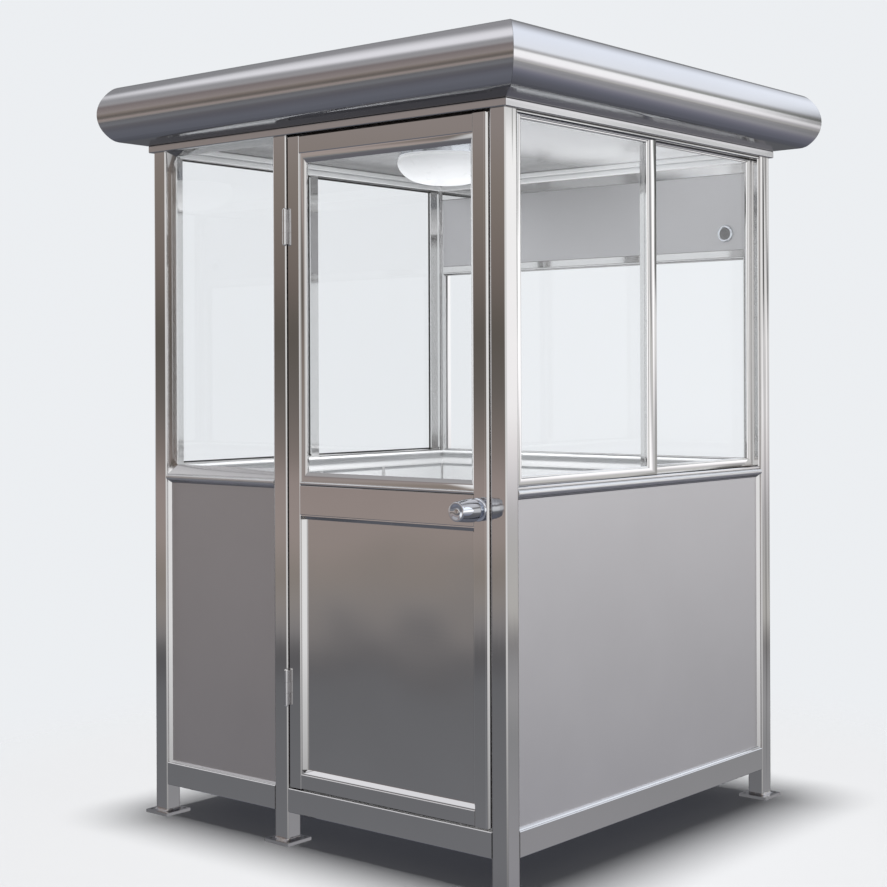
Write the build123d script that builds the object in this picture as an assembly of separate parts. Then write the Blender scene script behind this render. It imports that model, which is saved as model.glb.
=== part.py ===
from build123d import *
from math import asin, atan2, degrees, hypot
import os

os.makedirs("parts", exist_ok=True)

# Security guard booth, millimetres, +Z up.
# The origin is on the ground under the middle of the square plan.
# The door is in the front wall, which faces -Y.

# Plan and frame
plan_side = 1500
post_side = 60
post_corner = 9
door_opening = 810
edge_ease = 2
cut_overrun = 5
hairline = 0.2

# Levels above the ground
rail_bottom = 100
floor_level = 175
panel_top = 1120
belt_top = 1140
glass_bottom = 1166
beam_bottom = 2218
beam_top = 2242

# Feet
plate_side = 104
plate_thick = 10
plate_hole_radius = 5
plate_hole_inset = 14

# Base, walls and floor
rail_recess = 2
floor_thick = 40
panel_recess = 18
panel_thick = 38
lining_thick = 2

# Windows
frame_recess = 8
frame_depth = 48
jamb_width = 8
head_height = 10
rear_head_height = 52
fixed_setback = 36
slide_sill_height = 8
slide_head_height = 8
sash_recess = 4
sash_depth = 18
sash_track_gap = 4
sash_stile_width = 20
meeting_stile_width = 46
inner_meeting_width = 40
meeting_end = 46
sash_rail_height = 26
sash_head_height = 9
glass_thick = 6
transom_bottom = 1875
transom_height = 27
port_radius = 31
port_dish_radius = 20
port_proud = 8
port_dish = 5
port_side_inset = 86
port_level = 1960

# Roof
beam_proud = 10
beam_corner = 3
soffit_width = 60
soffit_rise = 10
eaves_height = 197
nose_depth = 62
nose_corner = 40
ceiling_bearing = 10
deck_thick = 20
deck_drop = 8
ceiling_thick = 20

# Ceiling light
light_left_of_middle = 52
light_front_of_middle = 44
light_radius = 160
light_base_height = 26
diffuser_radius = 166
diffuser_face_radius = 96
diffuser_rim = 34
diffuser_depth = 98

# Door leaf
door_gap_hinge = 7
door_gap_lock = 11
door_gap_bottom = 6
door_gap_top = 7
door_recess = 2
door_thick = 45
door_stop_width = 14
door_stop_clearance = 5
knob_notch = 60
stile_width = 50
top_rail_height = 53
lock_rail_bottom = 1034
lock_rail_top = 1126
bottom_rail_height = 46
door_belt_height = 11
bead_width = 13
bead_height = 25
bead_recess = 6
bead_depth = 26
door_panel_recess = 18
door_panel_thick = 20
moulding_width = 14
moulding_proud = 14
moulding_slope = 11

# Hinges
hinge_height = 108
lower_hinge_level = 492
upper_hinge_level = 1932
knuckle_radius = 7
knuckle_proud = 0.5
knuckle_gap = 1
pin_radius = 4
pin_clearance = 0.1
leaf_thick = 3
leaf_width = 35

# Lock
lock_level = 1084
lock_inset = 34
rose_radius = 34
rose_thick = 8
rose_clearance = 1
knob_radius = 34
knob_tip_radius = 28
knob_reach = 98
inner_knob_reach = 68
knob_gap = 1
neck_radius = 14
neck_length = 14
spindle_radius = 8
spindle_clearance = 1

half_plan = plan_side / 2
half_inside = half_plan - post_side
beam_outer = half_plan + beam_proud
nose_start = beam_outer + soffit_width
eaves_reach = nose_start + nose_depth
eaves_inner = half_inside + ceiling_bearing
eaves_top = beam_top + eaves_height
hinge_post_right = half_inside - door_opening
hinge_post_left = hinge_post_right - post_side
door_left = hinge_post_right + door_gap_hinge
door_right = half_inside - door_gap_lock
door_bottom = floor_level + door_gap_bottom
door_top = beam_bottom - door_gap_top
door_front = door_recess - half_plan
door_back = door_front + door_thick
wall_turn = {"front": 0, "right": 90, "rear": 180, "left": 270}
wall_span = {side: (-half_inside, half_inside) for side in wall_turn}
wall_span["front"] = (-half_inside, hinge_post_left)
outward_section = Plane((0, 0, 0), x_dir=(0, -1, 0), z_dir=(-1, 0, 0))


def block(x0, x1, y0, y1, z0, z1):
    # A box given by its two corners.
    return Pos((x0 + x1) / 2, (y0 + y1) / 2, (z0 + z1) / 2) * Box(x1 - x0, y1 - y0, z1 - z0)


def on_wall(side, shape):
    # A shape made on the front wall, turned to another wall.
    return Rot(0, 0, wall_turn[side]) * shape


def slab(side, span, depths, levels):
    # A slab in a wall: along it, inwards from the posts' outer faces, and upwards.
    front = -half_plan
    return on_wall(side, block(*span, front + depths[0], front + depths[1], *levels))


def bar(side, span, depths, levels, run):
    # A slab whose edges along its run are eased.
    shape = slab("front", span, depths, levels)
    return on_wall(side, chamfer(shape.edges().filter_by(run), edge_ease))


def bar_ring(side, span, depths, levels, side_widths, bottom_height, top_height):
    # Four bars round an opening, each end a hairline short of its neighbour.
    x0, x1 = span
    z0, z1 = levels
    uprights = (z0 + bottom_height + hairline, z1 - top_height - hairline)
    return [
        bar(side, span, depths, (z0, z0 + bottom_height), Axis.X),
        bar(side, span, depths, (z1 - top_height, z1), Axis.X),
        bar(side, (x0, x0 + side_widths[0]), depths, uprights, Axis.Z),
        bar(side, (x1 - side_widths[1], x1), depths, uprights, Axis.Z),
    ]


def round_trim(side, span, front, back, levels):
    # A strip along a wall with a half-round nose, its front and back as depths.
    radius = (levels[1] - levels[0]) / 2
    length = span[1] - span[0]
    flat = slab(side, span, (front + radius, back), levels)
    nose = Pos(sum(span) / 2, front + radius - half_plan, levels[0] + radius) * Rot(0, 90, 0)
    return flat + on_wall(side, nose * Cylinder(radius, length))


def mitred(side, profile):
    # A profile of (outwards, up) carried along the front wall and cut on both diagonals.
    reach = eaves_reach + cut_overrun
    length = extrude(outward_section * profile, amount=reach, both=True)
    corner = Polyline((0, -hairline), (-reach, -hairline - reach), (reach, -hairline - reach), close=True)
    wedge = extrude(make_face(corner), amount=eaves_top + cut_overrun)
    return on_wall(side, length & wedge)


def turned_piece(outline):
    # A round piece: an outline of (radius, along) points turned about its own Z axis.
    return revolve(Plane.XZ * make_face(Polyline(*outline, close=True)), Axis.Z)


def save(name, *solids):
    # One file for each named piece.
    shape = solids[0] if len(solids) == 1 else Compound(children=list(solids))
    export_step(shape, f"parts/{name}.step")


def make_posts():
    # Square tubes with rounded arrises on foot plates, which are drilled for ground anchors.
    centre = half_plan - post_side / 2
    hinge_x = hinge_post_left + post_side / 2
    corners = {"front_left": (-1, -1), "front_right": (1, -1), "rear_left": (-1, 1), "rear_right": (1, 1)}
    height = beam_bottom - plate_thick
    tube = Pos(0, 0, plate_thick + height / 2) * Box(post_side, post_side, height)
    tube = fillet(tube.edges().filter_by(Axis.Z), post_corner)
    sheet = Pos(0, 0, plate_thick / 2) * Box(plate_side, plate_side, plate_thick)
    drill = Pos(0, 0, plate_thick / 2) * Cylinder(plate_hole_radius, plate_thick + 2 * cut_overrun)
    pitch = plate_side - 2 * plate_hole_inset
    plates = [Pos(hinge_x, -centre) * (sheet - [hole * drill for hole in GridLocations(pitch, pitch, 2, 2)])]
    save("hinge_post", Pos(hinge_x, -centre) * tube)
    for name, (right, back) in corners.items():
        place = Pos(right * centre, back * centre)
        save(f"{name}_post", place * tube)
        outer = Pos(right * pitch / 2, back * pitch / 2) * drill
        inner = Pos(-right * pitch / 2, -back * pitch / 2) * drill
        plates.append(place * (sheet - outer - inner))
    save("base_plates", *plates)


def make_base():
    # Rails between the posts' feet, the door's threshold and stops, and the floor inside them.
    depths = (rail_recess, post_side)
    levels = (rail_bottom, floor_level)
    save("base_rails", *[bar(side, wall_span[side], depths, levels, Axis.X) for side in wall_turn])
    opening = (hinge_post_right, half_inside)
    save("door_threshold", bar("front", opening, depths, levels, Axis.X))
    stop_depths = (door_recess + door_thick + door_stop_clearance, post_side)
    stop_bottom = beam_bottom - door_stop_width
    stop_top = stop_bottom - hairline
    hinge_side = (hinge_post_right, hinge_post_right + door_stop_width)
    lock_side = (half_inside - door_stop_width, half_inside)
    stops = [
        slab("front", opening, stop_depths, (stop_bottom, beam_bottom)),
        slab("front", hinge_side, stop_depths, (floor_level, stop_top)),
        slab("front", lock_side, stop_depths, (floor_level, lock_level - knob_notch)),
        slab("front", lock_side, stop_depths, (lock_level + knob_notch, stop_top)),
    ]
    save("door_stops", *stops)
    inside = (-half_inside, half_inside)
    save("floor_panel", block(*inside, *inside, floor_level - floor_thick, floor_level))


def make_lower_walls():
    # Sheet-faced panels up to the sills, lined inside, and the half-round belt trim on top of them.
    back = panel_recess + panel_thick
    for side, span in wall_span.items():
        save(f"{side}_lower_panel", slab(side, span, (panel_recess, back), (floor_level, panel_top)))
    lining = (back, back + lining_thick)
    levels = (floor_level, panel_top)
    save("inner_linings", *[slab(side, span, lining, levels) for side, span in wall_span.items()])
    belt_levels = (panel_top, belt_top)
    save("belt_trims", *[round_trim(side, span, 0, back, belt_levels) for side, span in wall_span.items()])


def make_fixed_window(side, head):
    # A frame with one pane set well back in it, the rear one with a transom and a panel over the pane.
    depths = (frame_recess, frame_recess + frame_depth)
    x0, x1 = wall_span[side]
    clear = (x0 + jamb_width, x1 - jamb_width)
    pane_top = beam_bottom - head
    sill = glass_bottom - belt_top
    jambs = (jamb_width, jamb_width)
    bars = bar_ring(side, (x0, x1), depths, (belt_top, beam_bottom), jambs, sill, head)
    if side == "rear":
        transom_top = transom_bottom + transom_height
        between = (clear[0] + hairline, clear[1] - hairline)
        bars.append(bar(side, between, depths, (transom_bottom, transom_top), Axis.X))
        save("rear_upper_panel", slab(side, clear, depths, (transom_top, pane_top)))
        pane_top = transom_bottom
    save(f"{side}_window_frame", *bars)
    pane = frame_recess + fixed_setback
    save(f"{side}_window_glass", slab(side, clear, (pane, pane + glass_thick), (glass_bottom, pane_top)))


def make_sliding_window(side):
    # A frame with two glazed sashes on their own tracks, meeting in the middle.
    depths = (frame_recess, frame_recess + frame_depth)
    x0, x1 = wall_span[side]
    opening = (belt_top + slide_sill_height, beam_bottom - slide_head_height)
    faces = ((jamb_width, jamb_width), slide_sill_height, slide_head_height)
    save(f"{side}_window_frame", *bar_ring(side, (x0, x1), depths, (belt_top, beam_bottom), *faces))
    outer = frame_recess + sash_recess
    inner = outer + sash_depth + sash_track_gap
    pane_levels = (opening[0] + sash_rail_height, opening[1] - sash_head_height)
    outer_sash = (outer, (x0 + jamb_width, meeting_end), (sash_stile_width, meeting_stile_width))
    inner_start = meeting_end - inner_meeting_width
    inner_sash = (inner, (inner_start, x1 - jamb_width), (inner_meeting_width, sash_stile_width))
    bars = []
    panes = []
    for track, span, stiles in (outer_sash, inner_sash):
        depths = (track, track + sash_depth)
        bars += bar_ring(side, span, depths, opening, stiles, sash_rail_height, sash_head_height)
        pane = track + (sash_depth - glass_thick) / 2
        clear = (span[0] + stiles[0], span[1] - stiles[1])
        panes.append(slab(side, clear, (pane, pane + glass_thick), pane_levels))
    save(f"{side}_window_glass", *panes)
    return bars


def make_cable_ports():
    # A dished ring on each face of the rear upper panel.
    flange = Pos(0, 0, port_proud / 2) * Cylinder(port_radius, port_proud)
    dish = Pos(0, 0, port_proud) * Cylinder(port_dish_radius, 2 * port_dish)
    ring = flange - dish
    x = half_inside - port_side_inset
    face = half_plan - frame_recess
    outside = Pos(x, face, port_level) * Rot(-90, 0, 0) * ring
    within = Pos(x, face - frame_depth, port_level) * Rot(90, 0, 0) * ring
    save("cable_ports", outside, within)


def bullnose():
    # The eaves' section: a sloped soffit, then three tangent arcs, of two corners and a flatter middle.
    half_height = (eaves_height - soffit_rise) / 2
    rise = half_height - nose_corner
    across = nose_depth - nose_corner
    setback = (rise**2 - across**2) / (2 * across)
    split = degrees(atan2(rise, setback))
    corner_top = eaves_top - nose_corner
    corner_low = beam_top + soffit_rise + nose_corner
    climb = nose_corner + soffit_rise
    slope = degrees(atan2(climb, soffit_width) - asin(nose_corner / hypot(climb, soffit_width)))
    middle = (nose_start - setback, (corner_top + corner_low) / 2)
    upper = CenterArc((nose_start, corner_top), nose_corner, split, 90 - split)
    front = CenterArc(middle, nose_depth + setback, -split, 2 * split)
    lower = CenterArc((nose_start, corner_low), nose_corner, slope - 90, 90 - slope - split)
    seat = [(beam_outer, beam_top), (eaves_inner, beam_top), (eaves_inner, eaves_top)]
    return make_face([upper, front, lower, Polyline(lower @ 0, *seat, upper @ 1)])


def make_roof():
    # The ring beam on the posts, the bullnosed eaves on it, the ceiling and the deck.
    section = Pos((beam_outer + half_inside) / 2, (beam_bottom + beam_top) / 2)
    section *= Rectangle(beam_outer - half_inside, beam_top - beam_bottom)
    section = fillet(section.vertices().sort_by(Axis.X)[-2:], beam_corner)
    save("ring_beam", *[mitred(side, section) for side in wall_turn])
    nose = bullnose()
    for side in wall_turn:
        save(f"{side}_eaves", mitred(side, nose))
    inside = (-eaves_inner, eaves_inner)
    deck_top = eaves_top - deck_drop
    save("roof_deck", block(*inside, *inside, deck_top - deck_thick, deck_top))
    save("ceiling_panel", block(*inside, *inside, beam_top, beam_top + ceiling_thick))


def make_light():
    # A round lamp under the ceiling: a pressed base and a deep-rimmed diffuser that tapers to its face.
    place = Pos(-light_left_of_middle, -light_front_of_middle, beam_top) * Rot(180, 0, 0)
    base = Pos(0, 0, light_base_height / 2) * Cylinder(light_radius, light_base_height)
    save("ceiling_light_base", place * base)
    rim = light_base_height + diffuser_rim
    face = light_base_height + diffuser_depth
    outline = [
        (0, light_base_height),
        (diffuser_radius, light_base_height),
        (diffuser_radius, rim),
        (diffuser_face_radius, face),
        (0, face),
    ]
    save("ceiling_light_diffuser", place * turned_piece(outline))


def make_door():
    # The leaf: two stiles and three rails round a glazed light and a recessed panel.
    depths = (door_recess, door_recess + door_thick)
    inner = (door_left + stile_width, door_right - stile_width)
    full = (door_bottom, door_top)
    save("door_hinge_stile", bar("front", (door_left, inner[0]), depths, full, Axis.Z))
    stile = bar("front", (inner[1], door_right), depths, full, Axis.Z)
    bore = Cylinder(spindle_radius + spindle_clearance, door_thick + 2 * cut_overrun)
    middle = (door_front + door_back) / 2
    stile -= Pos(door_right - lock_inset, middle, lock_level) * Rot(90, 0, 0) * bore
    save("door_lock_stile", stile)
    top_rail_bottom = door_top - top_rail_height
    bottom_rail_top = door_bottom + bottom_rail_height
    rails = [
        (door_bottom, bottom_rail_top),
        (lock_rail_bottom, lock_rail_top),
        (top_rail_bottom, door_top),
    ]
    save("door_rails", *[bar("front", inner, depths, levels, Axis.X) for levels in rails])
    bead_front = door_recess + bead_recess
    bead_depths = (bead_front, bead_front + bead_depth)
    light = (lock_rail_top + door_belt_height, top_rail_bottom)
    bead_sides = (bead_width, bead_width)
    beads = bar_ring("front", inner, bead_depths, light, bead_sides, bead_height, bead_height)
    save("door_glazing_beads", *beads)
    pane = bead_front + (bead_depth - glass_thick) / 2
    pane_span = (inner[0] + bead_width, inner[1] - bead_width)
    pane_levels = (light[0] + bead_height, light[1] - bead_height)
    save("door_glass", slab("front", pane_span, (pane, pane + glass_thick), pane_levels))
    face = door_recess + door_panel_recess
    panel_levels = (bottom_rail_top, lock_rail_bottom)
    save("door_lower_panel", slab("front", inner, (face, face + door_panel_thick), panel_levels))
    belt = round_trim("front", inner, door_recess, bead_depths[1], (lock_rail_top, light[0]))
    save("door_panel_mouldings", belt, *panel_moulding(inner, face, panel_levels))


def panel_moulding(span, face, levels):
    # Wedge-shaped beads in the corner between the panel and the leaf's frame.
    x0, x1 = span
    z0, z1 = levels
    depths = (face - moulding_proud, face)
    uprights = (z0 + moulding_width + hairline, z1 - moulding_width - hairline)
    places = [
        ((x0, x1), (z0, z0 + moulding_width), Axis.X),
        ((x0, x1), (z1 - moulding_width, z1), Axis.X),
        ((x0, x0 + moulding_width), uprights, Axis.Z),
        ((x1 - moulding_width, x1), uprights, Axis.Z),
    ]
    before = ((x0 + x1) / 2, -plan_side, (z0 + z1) / 2)
    beads = []
    for bead_span, bead_levels, run in places:
        bead = slab("front", bead_span, depths, bead_levels)
        inner_edge = bead.edges().filter_by(run).sort_by_distance(before)[0]
        beads.append(chamfer(inner_edge, moulding_slope))
    return beads


def make_hinges():
    # Butt hinges with their knuckles outside: pin and end knuckles on the post's leaf.
    axis_x = (hinge_post_right + door_left) / 2
    axis_y = -half_plan - knuckle_radius - knuckle_proud
    knuckle = hinge_height / 3
    leaf_depth = (axis_y, axis_y + leaf_width)
    fixed = []
    moving = []
    for level in (lower_hinge_level, upper_hinge_level):
        leaf_levels = (level - hinge_height / 2, level + hinge_height / 2)
        axis = Pos(axis_x, axis_y, level)
        swept = Cylinder(knuckle_radius + knuckle_gap, knuckle)
        ends = Cylinder(knuckle_radius, hinge_height) - swept
        pin = Cylinder(pin_radius, hinge_height)
        leaf = block(hinge_post_right, hinge_post_right + leaf_thick, *leaf_depth, *leaf_levels)
        fixed.append(leaf - axis * swept + axis * ends + axis * pin)
        middle = Cylinder(knuckle_radius, knuckle - 2 * knuckle_gap)
        bore = Cylinder(pin_radius + pin_clearance, hinge_height)
        kept = Cylinder(knuckle_radius + 2 * knuckle_gap, knuckle - 2 * knuckle_gap)
        ends_swept = Cylinder(knuckle_radius + knuckle_gap, hinge_height) - kept
        mate = block(door_left - leaf_thick, door_left, *leaf_depth, *leaf_levels)
        moving.append(mate - axis * ends_swept + axis * middle - axis * bore)
    save("hinge_frame_leaves", *fixed)
    save("hinge_door_leaves", *moving)


def make_lock():
    # A knob on each side of the leaf on one spindle, with a fixed rose under each.
    lock_x = door_right - lock_inset
    neck_start = rose_thick + knob_gap
    head_start = neck_start + neck_length
    front = Pos(lock_x, door_front, lock_level) * Rot(90, 0, 0)
    back = Pos(lock_x, door_back, lock_level) * Rot(-90, 0, 0)
    knobs = []
    for face, reach in ((front, knob_reach), (back, inner_knob_reach)):
        outline = [
            (0, -door_thick / 2),
            (spindle_radius, -door_thick / 2),
            (spindle_radius, neck_start),
            (neck_radius, neck_start),
            (neck_radius, head_start),
            (knob_radius, head_start),
            (knob_tip_radius, reach),
            (0, reach),
        ]
        knobs.append(face * turned_piece(outline))
    save("door_knob", knobs[0] + knobs[1])
    hole = spindle_radius + rose_clearance
    disc = Cylinder(rose_radius, rose_thick) - Cylinder(hole, rose_thick + cut_overrun)
    rose = Pos(0, 0, rose_thick / 2) * disc
    save("knob_roses", front * rose, back * rose)


make_posts()
make_base()
make_lower_walls()
make_fixed_window("front", head_height)
make_fixed_window("rear", rear_head_height)
save("window_sashes", *make_sliding_window("right"), *make_sliding_window("left"))
make_cable_ports()
make_roof()
make_light()
make_door()
make_hinges()
make_lock()
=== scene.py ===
import math
import bmesh
import bpy
import numpy as np
from mathutils import Euler, Matrix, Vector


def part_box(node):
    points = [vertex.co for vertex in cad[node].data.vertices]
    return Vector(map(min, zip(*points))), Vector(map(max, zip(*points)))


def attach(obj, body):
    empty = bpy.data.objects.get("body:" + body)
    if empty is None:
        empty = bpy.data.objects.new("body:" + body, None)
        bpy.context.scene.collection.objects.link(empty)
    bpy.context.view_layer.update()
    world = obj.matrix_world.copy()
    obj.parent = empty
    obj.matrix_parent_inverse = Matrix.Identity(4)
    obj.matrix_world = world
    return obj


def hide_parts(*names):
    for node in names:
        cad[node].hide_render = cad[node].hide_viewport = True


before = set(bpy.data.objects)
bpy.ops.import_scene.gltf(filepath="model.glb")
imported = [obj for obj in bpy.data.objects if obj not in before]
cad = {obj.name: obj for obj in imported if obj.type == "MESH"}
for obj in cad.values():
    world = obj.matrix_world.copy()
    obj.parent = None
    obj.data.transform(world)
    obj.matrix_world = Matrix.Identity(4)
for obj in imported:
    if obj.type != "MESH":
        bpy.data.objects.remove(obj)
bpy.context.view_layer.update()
print("frame loaded with", len(cad), "nodes")


# Shader nodes

def newMaterial(name):
    mat = bpy.data.materials.new(name)
    mat.use_nodes = True
    return mat, mat.node_tree


def setInputs(tree, node, values):
    # a socket is linked, anything else becomes the input's own value
    for key, value in values.items():
        if isinstance(value, bpy.types.NodeSocket):
            tree.links.new(value, node.inputs[key])
        else:
            node.inputs[key].default_value = value


def finished(mat, color, rough, more):
    # colour, roughness and whatever else a finish needs, set on the material's own shader
    values = {"Base Color": color, "Roughness": rough, **more}
    setInputs(mat.node_tree, mat.node_tree.nodes["Principled BSDF"], values)
    return mat


def addNode(tree, kind, values=None, **settings):
    node = tree.nodes.new("ShaderNode" + kind)
    for key, value in settings.items():
        setattr(node, key, value)
    setInputs(tree, node, values or {})
    return node


def mathNode(tree, operation, a, b=0.0):
    return addNode(tree, "Math", {0: a, 1: b}, operation=operation).outputs[0]


def times(tree, a, b):
    return mathNode(tree, "MULTIPLY", a, b)


def spread(tree, value, low, high, outLow=0.0, outHigh=1.0, kind="LINEAR"):
    # value from low..high laid onto outLow..outHigh, held at the ends
    keys = {"Value": value, "From Min": low, "From Max": high, "To Min": outLow, "To Max": outHigh}
    return addNode(tree, "MapRange", keys, interpolation_type=kind).outputs[0]


def ramp(tree, value, stops):
    # colour stops at places from 0 to 1
    node = addNode(tree, "ValToRGB", {"Fac": value})
    points = node.color_ramp.elements
    for index, (place, color) in enumerate(stops):
        point = points[index] if index < 2 else points.new(place)
        point.position = place
        point.color = (*color, 1)
    return node.outputs["Color"]


def mixColor(tree, factor, a, b):
    return addNode(tree, "Mix", {"Factor": factor, "A": a, "B": b}, data_type="RGBA").outputs["Result"]


def objectPlace(tree):
    return addNode(tree, "TexCoord").outputs["Object"]


def noiseAt(tree, scale, detail, seed=0.0, stretch=(1, 1, 1)):
    # noise on Object coordinates, each axis stretched by its own share
    keys = {"Vector": objectPlace(tree), "Scale": stretch, "Location": (seed, seed, seed)}
    place = addNode(tree, "Mapping", keys)
    keys = {"Vector": place.outputs[0], "Scale": scale, "Detail": detail, "Roughness": 0.6}
    return addNode(tree, "TexNoise", keys).outputs["Fac"]


def bumpOn(tree, height, distance, normal=None, strength=1.0):
    keys = {"Height": height, "Distance": distance, "Strength": strength}
    if normal is not None:
        keys["Normal"] = normal
    return addNode(tree, "Bump", keys).outputs[0]


def slowWave(tree, height):
    # the broad unevenness of a rolled sheet
    return bumpOn(tree, noiseAt(tree, 2.2, 1.0, seed=2.1), height)


# Finishes

steelBase = {"roughSwing": 0.03, "grain": (20, 20, 20)}
# "under" is painted shade: the share of the colour kept on faces turned downwards
steelFinish = {
    "mirrorTube": {"color": (0.60, 0.59, 0.585), "rough": 0.05, "wave": 0.0006,
                   "grain": (60, 60, 1), "grainBump": 0.02, "streak": 0.0016},
    "railTube": {"color": (0.60, 0.59, 0.585), "rough": 0.05, "wave": 0.0004,
                 "grainBump": 0.01},
    "mirrorTrim": {"color": (0.72, 0.715, 0.71), "rough": 0.06, "wave": 0.0005,
                   "grainBump": 0.01, "under": 0.45},
    "satinTrim": {"color": (0.76, 0.755, 0.75), "rough": 0.30, "roughSwing": 0.04, "wave": 0.0005,
                  "grainBump": 0.02},
    "satinSheet": {"color": (0.64, 0.63, 0.64), "rough": 0.38, "wave": 0.001,
                   "grain": (1, 1, 90), "grainBump": 0.05},
    "doorSheet": {"color": (0.60, 0.59, 0.585), "rough": 0.10, "wave": 0.004,
                  "grain": (1, 1, 90), "grainBump": 0.03},
    "roofSheet": {"color": (0.62, 0.615, 0.625), "rough": 0.12, "wave": 0.0003,
                  "grain": (1, 1, 120), "grainBump": 0.03, "mitre": 0.0009, "under": 0.52},
    "hingeSteel": {"color": (0.99, 0.99, 0.97), "rough": 0.2, "roughSwing": 0.06, "grain": (20, 20, 60),
                   "grainBump": 0.03},
    # chrome's blue cast is a painted reflection of blue surroundings
    "chrome": {"color": (0.80, 0.83, 0.88), "rough": 0.04, "roughSwing": 0.02, "grain": (30, 30, 30),
               "grainBump": 0.005},
}


def steel(name):
    # metal whose roughness follows fine drawn lines and faint broad patches; the sheet waves slowly, a drawn
    # tube also in streaks along its length; a mitred piece darkens in the seam where |x| meets |y|, and
    # "under" is the share of the colour kept on faces turned downwards, a painted shade
    s = steelBase | steelFinish[name]
    mat, tree = newMaterial(name)
    lines = noiseAt(tree, 6.0, 4.0, stretch=s["grain"])
    cloud = noiseAt(tree, 2.5, 4.0, seed=7.3)
    low = [0.98 * c for c in s["color"]]
    high = [min(1.0, 1.02 * c) for c in s["color"]]
    color = mixColor(tree, spread(tree, cloud, 0.3, 0.7), (*low, 1), (*high, 1))
    both = mathNode(tree, "ADD", lines, cloud)
    half = s["roughSwing"] / 2
    rough = spread(tree, both, 0.6, 1.4, s["rough"] - half, s["rough"] + half)
    if "mitre" in s:
        place = addNode(tree, "SeparateXYZ", {0: objectPlace(tree)})
        x = mathNode(tree, "ABSOLUTE", place.outputs["X"])
        y = mathNode(tree, "ABSOLUTE", place.outputs["Y"])
        off = mathNode(tree, "ABSOLUTE", mathNode(tree, "SUBTRACT", x, y))
        seam = spread(tree, off, 0.0, s["mitre"], 1.0, 0.0)
        color = mixColor(tree, seam, color, (0.16, 0.16, 0.165, 1))
        rough = mathNode(tree, "ADD", rough, times(tree, seam, 0.4))
    if "under" in s:
        # painted shade: faces turned downwards take a darker copy of the colour
        facing = addNode(tree, "SeparateXYZ", {0: addNode(tree, "NewGeometry").outputs["Normal"]})
        shadedUnderside = spread(tree, facing.outputs["Z"], -0.45, -0.9)
        color = mixColor(tree, shadedUnderside, color, (*[s["under"] * c for c in s["color"]], 1))
    normal = None
    if "wave" in s:
        normal = slowWave(tree, s["wave"])
    if "streak" in s:
        normal = bumpOn(tree, noiseAt(tree, 2.0, 2.0, 5.7, (16, 16, 0.25)), s["streak"], normal)
    normal = bumpOn(tree, lines, 0.0004, normal, s["grainBump"])
    return finished(mat, color, rough, {"Normal": normal, "Metallic": 1.0})


def ceilingSheet():
    # galvanised sheet with a faint spangle; painted shade leaves it dark on its left, paler towards its
    # right edge
    mat, tree = newMaterial("ceilingSheet")
    spangle = noiseAt(tree, 28.0, 2.0, seed=2.9)
    across = addNode(tree, "SeparateXYZ", {0: objectPlace(tree)}).outputs["X"]
    # painted light and shade across the ceiling: dark and less metallic on the left, pale and more metallic
    # on the right
    paintedLightAcross = spread(tree, across, -0.05, 0.30, kind="SMOOTHSTEP")
    color = mixColor(tree, paintedLightAcross, (0.13, 0.13, 0.132, 1), (0.92, 0.92, 0.93, 1))
    color = mixColor(tree, spread(tree, spangle, 0.3, 0.7, 0.0, 0.06), color, (0.40, 0.40, 0.41, 1))
    rough = spread(tree, spangle, 0.3, 0.7, 0.12, 0.18)
    metal = spread(tree, paintedLightAcross, 0.0, 1.0, 0.0, 0.55)
    more = {"Normal": slowWave(tree, 0.002), "Metallic": metal, "Specular IOR Level": 0.08}
    return finished(mat, color, rough, more)


def clearGlass():
    # float glass with a trace of green and a breath of dust
    mat, tree = newMaterial("clearGlass")
    dust = noiseAt(tree, 9.0, 5.0, seed=4.4)
    rough = spread(tree, dust, 0.5, 0.9, 0.0, 0.03)
    tint = mixColor(tree, spread(tree, dust, 0.2, 0.8), (0.98, 0.985, 0.985, 1), (0.985, 0.99, 0.995, 1))
    return finished(mat, tint, rough, {"Transmission Weight": 1.0, "IOR": 1.34})


def lampPlastic():
    # opal plastic with a faint moulded mottle, lit from within
    mat, tree = newMaterial("lampPlastic")
    mottle = noiseAt(tree, 14.0, 3.0, seed=1.2)
    color = mixColor(tree, mottle, (0.32, 0.325, 0.33, 1), (0.36, 0.36, 0.365, 1))
    rough = spread(tree, mottle, 0.3, 0.7, 0.25, 0.38)
    return finished(mat, color, rough, {"Emission Color": (0.95, 0.97, 1.0, 1), "Emission Strength": 0.52})


def treadPlate():
    # worn aluminium floor plate with scuffs across its drawn lines
    mat, tree = newMaterial("treadPlate")
    scuff = noiseAt(tree, 16.0, 6.0, seed=3.3)
    lines = noiseAt(tree, 8.0, 3.0, 5.1, (1, 40, 1))
    color = mixColor(tree, scuff, (0.34, 0.34, 0.35, 1), (0.58, 0.58, 0.59, 1))
    rough = spread(tree, mathNode(tree, "ADD", scuff, lines), 0.6, 1.4, 0.28, 0.5)
    return finished(mat, color, rough, {"Metallic": 1.0})


def whiteLacquer():
    # stoved white paint with a fine orange peel and slightly greyed patches
    mat, tree = newMaterial("whiteLacquer")
    patch = noiseAt(tree, 3.0, 4.0, seed=8.8)
    peel = noiseAt(tree, 220.0, 2.0, seed=1.9)
    color = mixColor(tree, spread(tree, patch, 0.3, 0.7), (0.84, 0.85, 0.86, 1), (0.88, 0.885, 0.89, 1))
    rough = spread(tree, patch, 0.3, 0.7, 0.28, 0.4)
    return finished(mat, color, rough, {"Normal": bumpOn(tree, peel, 0.0004, strength=0.25)})


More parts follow.
